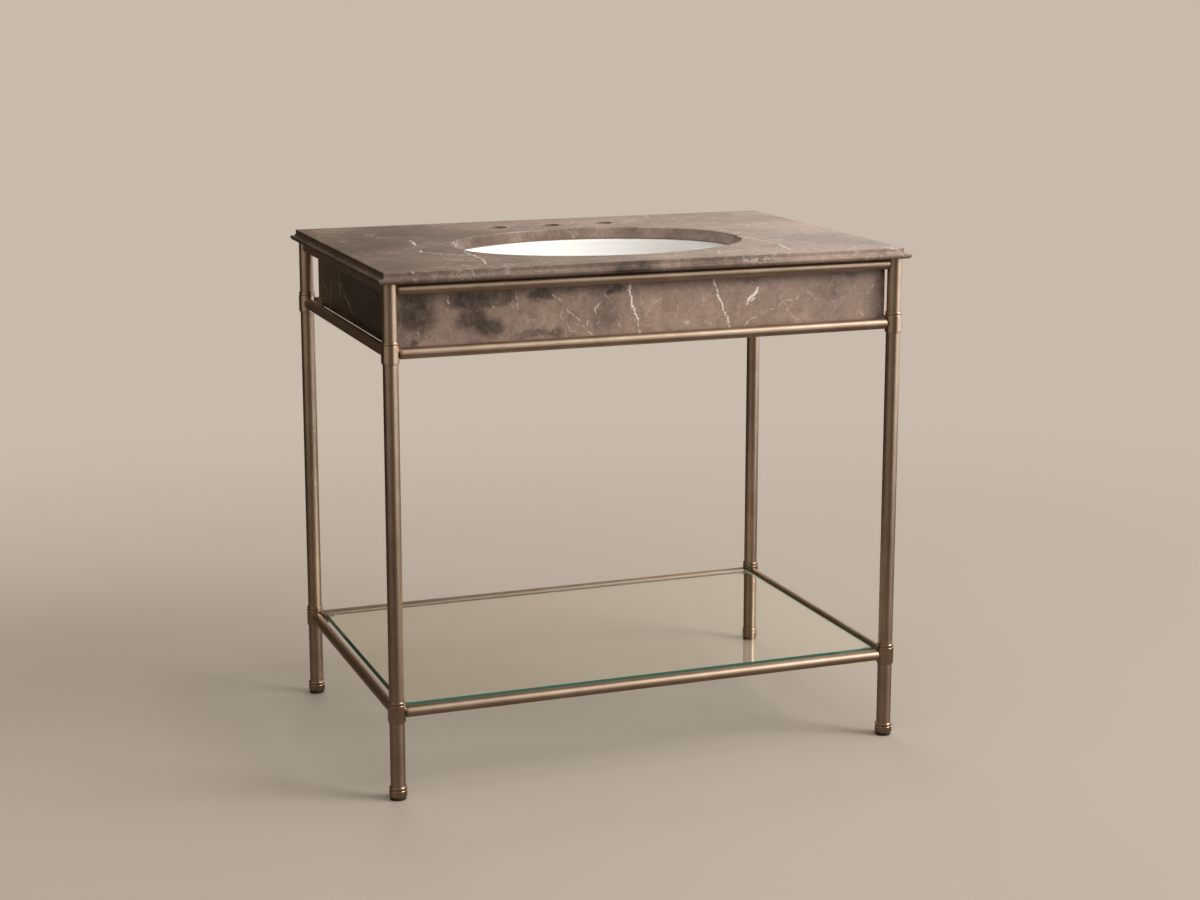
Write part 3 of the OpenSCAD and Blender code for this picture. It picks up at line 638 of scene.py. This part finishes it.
def paper_floor():
    """A disc of pale paper under the washstand, which melts into the background at its rim.
    It throws less light back up than it shows, as a mid-toned floor round it would."""
    points, radius = 96, 3.2
    as_seen, as_lit_by = "#ada397", "#6e625a"
    turns = [2 * math.pi * i / points for i in range(points)]
    ring = [(radius * math.cos(turn), radius * math.sin(turn), 0) for turn in turns]
    mesh = bpy.data.meshes.new("floor")
    mesh.from_pydata(ring, [], [tuple(range(points))])
    floor = bpy.data.objects.new("floor", mesh)
    bpy.context.scene.collection.objects.link(floor)
    material, tree = new_finish("pale paper")
    place = add(tree, "ShaderNodeTexCoord").outputs["Object"]
    distance = add(tree, "ShaderNodeVectorMath", {0: place}, operation="LENGTH")
    far = distance.outputs["Value"]
    path = add(tree, "ShaderNodeLightPath")
    seen = seen_by_eye(tree, path)
    # Light that is on its way back up meets a mid-toned floor, which ends in the dim room
    back_up = add(tree, "ShaderNodeMath", {
        0: path.outputs["Is Glossy Ray"], 1: path.outputs["Is Diffuse Ray"],
    }, operation="MAXIMUM")
    back_up = add(tree, "ShaderNodeMath", {
        0: back_up, 1: seen,
    }, operation="SUBTRACT", use_clamp=True)
    tone = add(tree, "ShaderNodeMix", {
        "Factor": back_up, "A": linear(as_seen), "B": linear(as_lit_by),
    }, data_type="RGBA")
    dim = add(tree, "ShaderNodeMapRange", {
        "Value": far, "From Min": 0.9, "From Max": 1.7, "To Min": 1.0, "To Max": 0.24,
    }, interpolation_type="SMOOTHSTEP")
    dim = add(tree, "ShaderNodeMath", {0: dim, 1: seen}, operation="MAXIMUM")
    tone = add(tree, "ShaderNodeVectorMath", {
        0: tone.outputs["Result"], "Scale": dim,
    }, operation="SCALE")
    lit = add(tree, "ShaderNodeBsdfDiffuse", {"Color": tone})
    beyond = add(tree, "ShaderNodeEmission", {"Color": linear(PAPER), "Strength": 1.0})
    rim = add(tree, "ShaderNodeMapRange", {
        "Value": far, "From Min": 1.0, "From Max": 3.0,
    }, interpolation_type="SMOOTHSTEP")
    fade = add(tree, "ShaderNodeMath", {0: rim, 1: seen}, operation="MULTIPLY")
    mixed = add(tree, "ShaderNodeMixShader", {"Fac": fade, 1: lit, 2: beyond})
    add(tree, "ShaderNodeOutputMaterial", {"Surface": mixed})
    floor.data.materials.append(material)


def studio_world():
    """Soft light from all round: from a paper backdrop behind the washstand and a room in
    front of it, which both fall off to the left, from a wall at the far left and from a pale
    ceiling. It is warmer where it is dimmer. The camera and the glass see plain paper
    everywhere. X grows to the right, Y to the back and Z upwards."""
    dim_light, full_light = "#e3c8a6", "#ece8e4"
    world = bpy.data.worlds.new("studio")
    bpy.context.scene.world = world
    world.use_nodes = True
    tree = world.node_tree
    tree.nodes.clear()
    ray = add(tree, "ShaderNodeTexCoord").outputs["Generated"]
    aim = add(tree, "ShaderNodeSeparateXYZ", {"Vector": ray})
    backdrop = add(tree, "ShaderNodeMapRange", {
        "Value": aim.outputs["X"], "From Min": 0.08, "From Max": 0.6, "To Min": 0.07,
        "To Max": 1.0,
    }, interpolation_type="SMOOTHSTEP")
    room = add(tree, "ShaderNodeMapRange", {
        "Value": aim.outputs["X"], "From Min": 0.2, "From Max": 0.7, "To Min": 0.25,
        "To Max": 2.0,
    }, interpolation_type="SMOOTHSTEP")
    wall = add(tree, "ShaderNodeMapRange", {
        "Value": aim.outputs["X"], "From Min": -0.35, "From Max": -0.75, "To Max": 0.34,
    }, interpolation_type="SMOOTHSTEP")
    behind = add(tree, "ShaderNodeMapRange", {
        "Value": aim.outputs["Y"], "From Min": -0.15, "From Max": 0.35,
    }, interpolation_type="SMOOTHSTEP")
    room = add(tree, "ShaderNodeMath", {0: room, 1: wall}, operation="ADD")
    level = add(tree, "ShaderNodeMix", {"Factor": behind, "A": room, "B": backdrop})
    path = add(tree, "ShaderNodeLightPath")
    # The left side lies in the shade: matt surfaces get little light from there
    shade = add(tree, "ShaderNodeMapRange", {
        "Value": aim.outputs["X"], "From Min": 0.0, "From Max": -0.5, "To Min": 1.0,
        "To Max": 0.3,
    })
    shade = add(tree, "ShaderNodeMix", {
        "Factor": path.outputs["Is Diffuse Ray"], "A": 1.0, "B": shade,
    })
    level = add(tree, "ShaderNodeMath", {0: level, 1: shade}, operation="MULTIPLY")
    ceiling = add(tree, "ShaderNodeMapRange", {
        "Value": aim.outputs["Z"], "From Min": 0.4, "From Max": 0.9, "To Max": 0.12,
    }, interpolation_type="SMOOTHSTEP")
    level = add(tree, "ShaderNodeMath", {0: level, 1: ceiling}, operation="ADD")
    seen = seen_by_eye(tree, path)
    warmth = add(tree, "ShaderNodeMix", {
        "Factor": level, "A": linear(dim_light), "B": linear(full_light),
    }, data_type="RGBA")
    soft = add(tree, "ShaderNodeBackground", {
        "Color": warmth.outputs["Result"], "Strength": level,
    })
    paper = add(tree, "ShaderNodeBackground", {"Color": linear(PAPER), "Strength": 1.0})
    mixed = add(tree, "ShaderNodeMixShader", {"Fac": seen, 1: soft, 2: paper})
    add(tree, "ShaderNodeOutputWorld", {"Surface": mixed})


def lamp(name, place, size, power, colour="#fffdfb", in_gloss=False):
    """A square soft box aimed at the middle of the washstand. A fill stays out of the gloss
    and the glass, so that it draws no second highlight along the tubes."""
    data = bpy.data.lights.new(name, "AREA")
    data.shape = "SQUARE"
    data.size = size
    data.energy = power
    data.color = linear(colour)[:3]
    box = bpy.data.objects.new(name, data)
    box.location = place
    box.visible_glossy = box.visible_transmission = in_gloss
    middle = (cad_low + cad_high) / 2
    box.rotation_euler = (middle - box.location).to_track_quat("-Z", "Y").to_euler()
    bpy.context.scene.collection.objects.link(box)


def camera():
    """Stands at the front left, at chest height, and looks a little down on the washstand."""
    looks_down, turned_right = 10.94, 20.45  # degrees
    data = bpy.data.cameras.new("camera")
    data.sensor_width = 36
    data.lens = 65.97  # gives the photograph's viewing angle
    data.shift_y = -0.05  # no more, so that the washstand stays in frame from every side
    data.clip_start, data.clip_end = 0.05, 60
    eye = bpy.data.objects.new("camera", data)
    eye.location = (-1.3029, -3.5388, 1.3171)
    eye.rotation_euler = (math.radians(90 - looks_down), 0, math.radians(-turned_right))
    bpy.context.scene.collection.objects.link(eye)
    bpy.context.scene.camera = eye


paper_floor()
studio_world()
lamp("key soft box", (5.7, -3.9, 4.7), size=3.0, power=395, colour="#fffcf9", in_gloss=True)
lamp("front fill", (0.2, -4.6, 3.6), size=2.4, power=45)
lamp("overhead fill", (0.2, -1.0, 5.0), size=5.0, power=92)
lamp("back fill", (0.6, 4.6, 2.6), size=2.4, power=90)
camera()
bpy.context.scene.view_settings.view_transform = "Standard"
